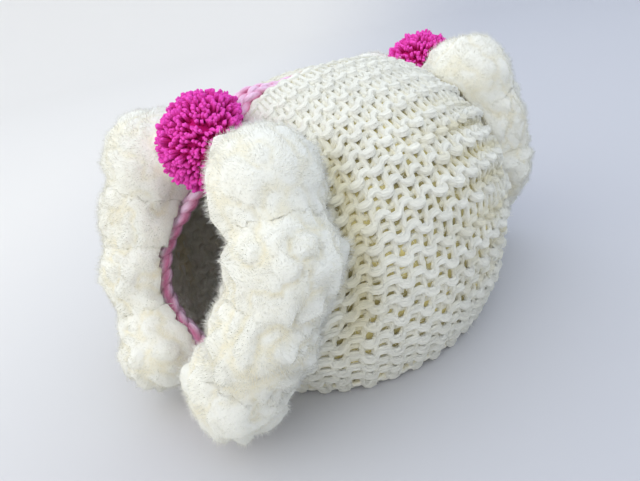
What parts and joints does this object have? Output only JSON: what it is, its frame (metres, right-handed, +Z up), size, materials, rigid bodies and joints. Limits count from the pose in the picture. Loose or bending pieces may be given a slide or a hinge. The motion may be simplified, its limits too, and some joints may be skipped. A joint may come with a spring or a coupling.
{
  "type": "tea cosy",
  "caption": "Hollow knitted tea cosy of bowed panels joined along the crest, with edgings and pompoms beside its spout and handle openings.",
  "frame": {"origin": "on the resting plane of the hem, under the middle of the bounding box", "axes": "+Z up from the hem to the crest; -X toward the spout opening, +X toward the handle opening; -Y is the near panel, +Y the far panel"},
  "size_m": [0.244, 0.176, 0.139],
  "materials": {
    "cream_yarn": "matt hand-knitted chunky yarn in garter stitch",
    "pink_yarn": "matt knitted edging",
    "white_pompom": "soft woolly pile",
    "magenta_pompom": "cut yarn ends"
  },
  "bodies": {
    "root": {"panel_near": "cream_yarn", "panel_far": "cream_yarn", "edging_near": "pink_yarn", "edging_far": "pink_yarn", "pompom_spout_near_1": "white_pompom", "pompom_spout_near_2": "white_pompom", "pompom_spout_near_3": "white_pompom", "pompom_spout_near_4": "white_pompom", "pompom_spout_far_1": "white_pompom", "pompom_spout_far_2": "white_pompom", "pompom_spout_far_3": "white_pompom", "pompom_spout_far_4": "white_pompom", "pompom_handle_near_1": "white_pompom", "pompom_handle_near_2": "white_pompom", "pompom_handle_near_3": "white_pompom", "pompom_handle_near_4": "white_pompom", "pompom_handle_far_1": "white_pompom", "pompom_handle_far_2": "white_pompom", "pompom_handle_far_3": "white_pompom", "pompom_handle_far_4": "white_pompom", "pompom_spout_top": "magenta_pompom", "pompom_handle_top": "magenta_pompom"}
  },
  "joints": []
}
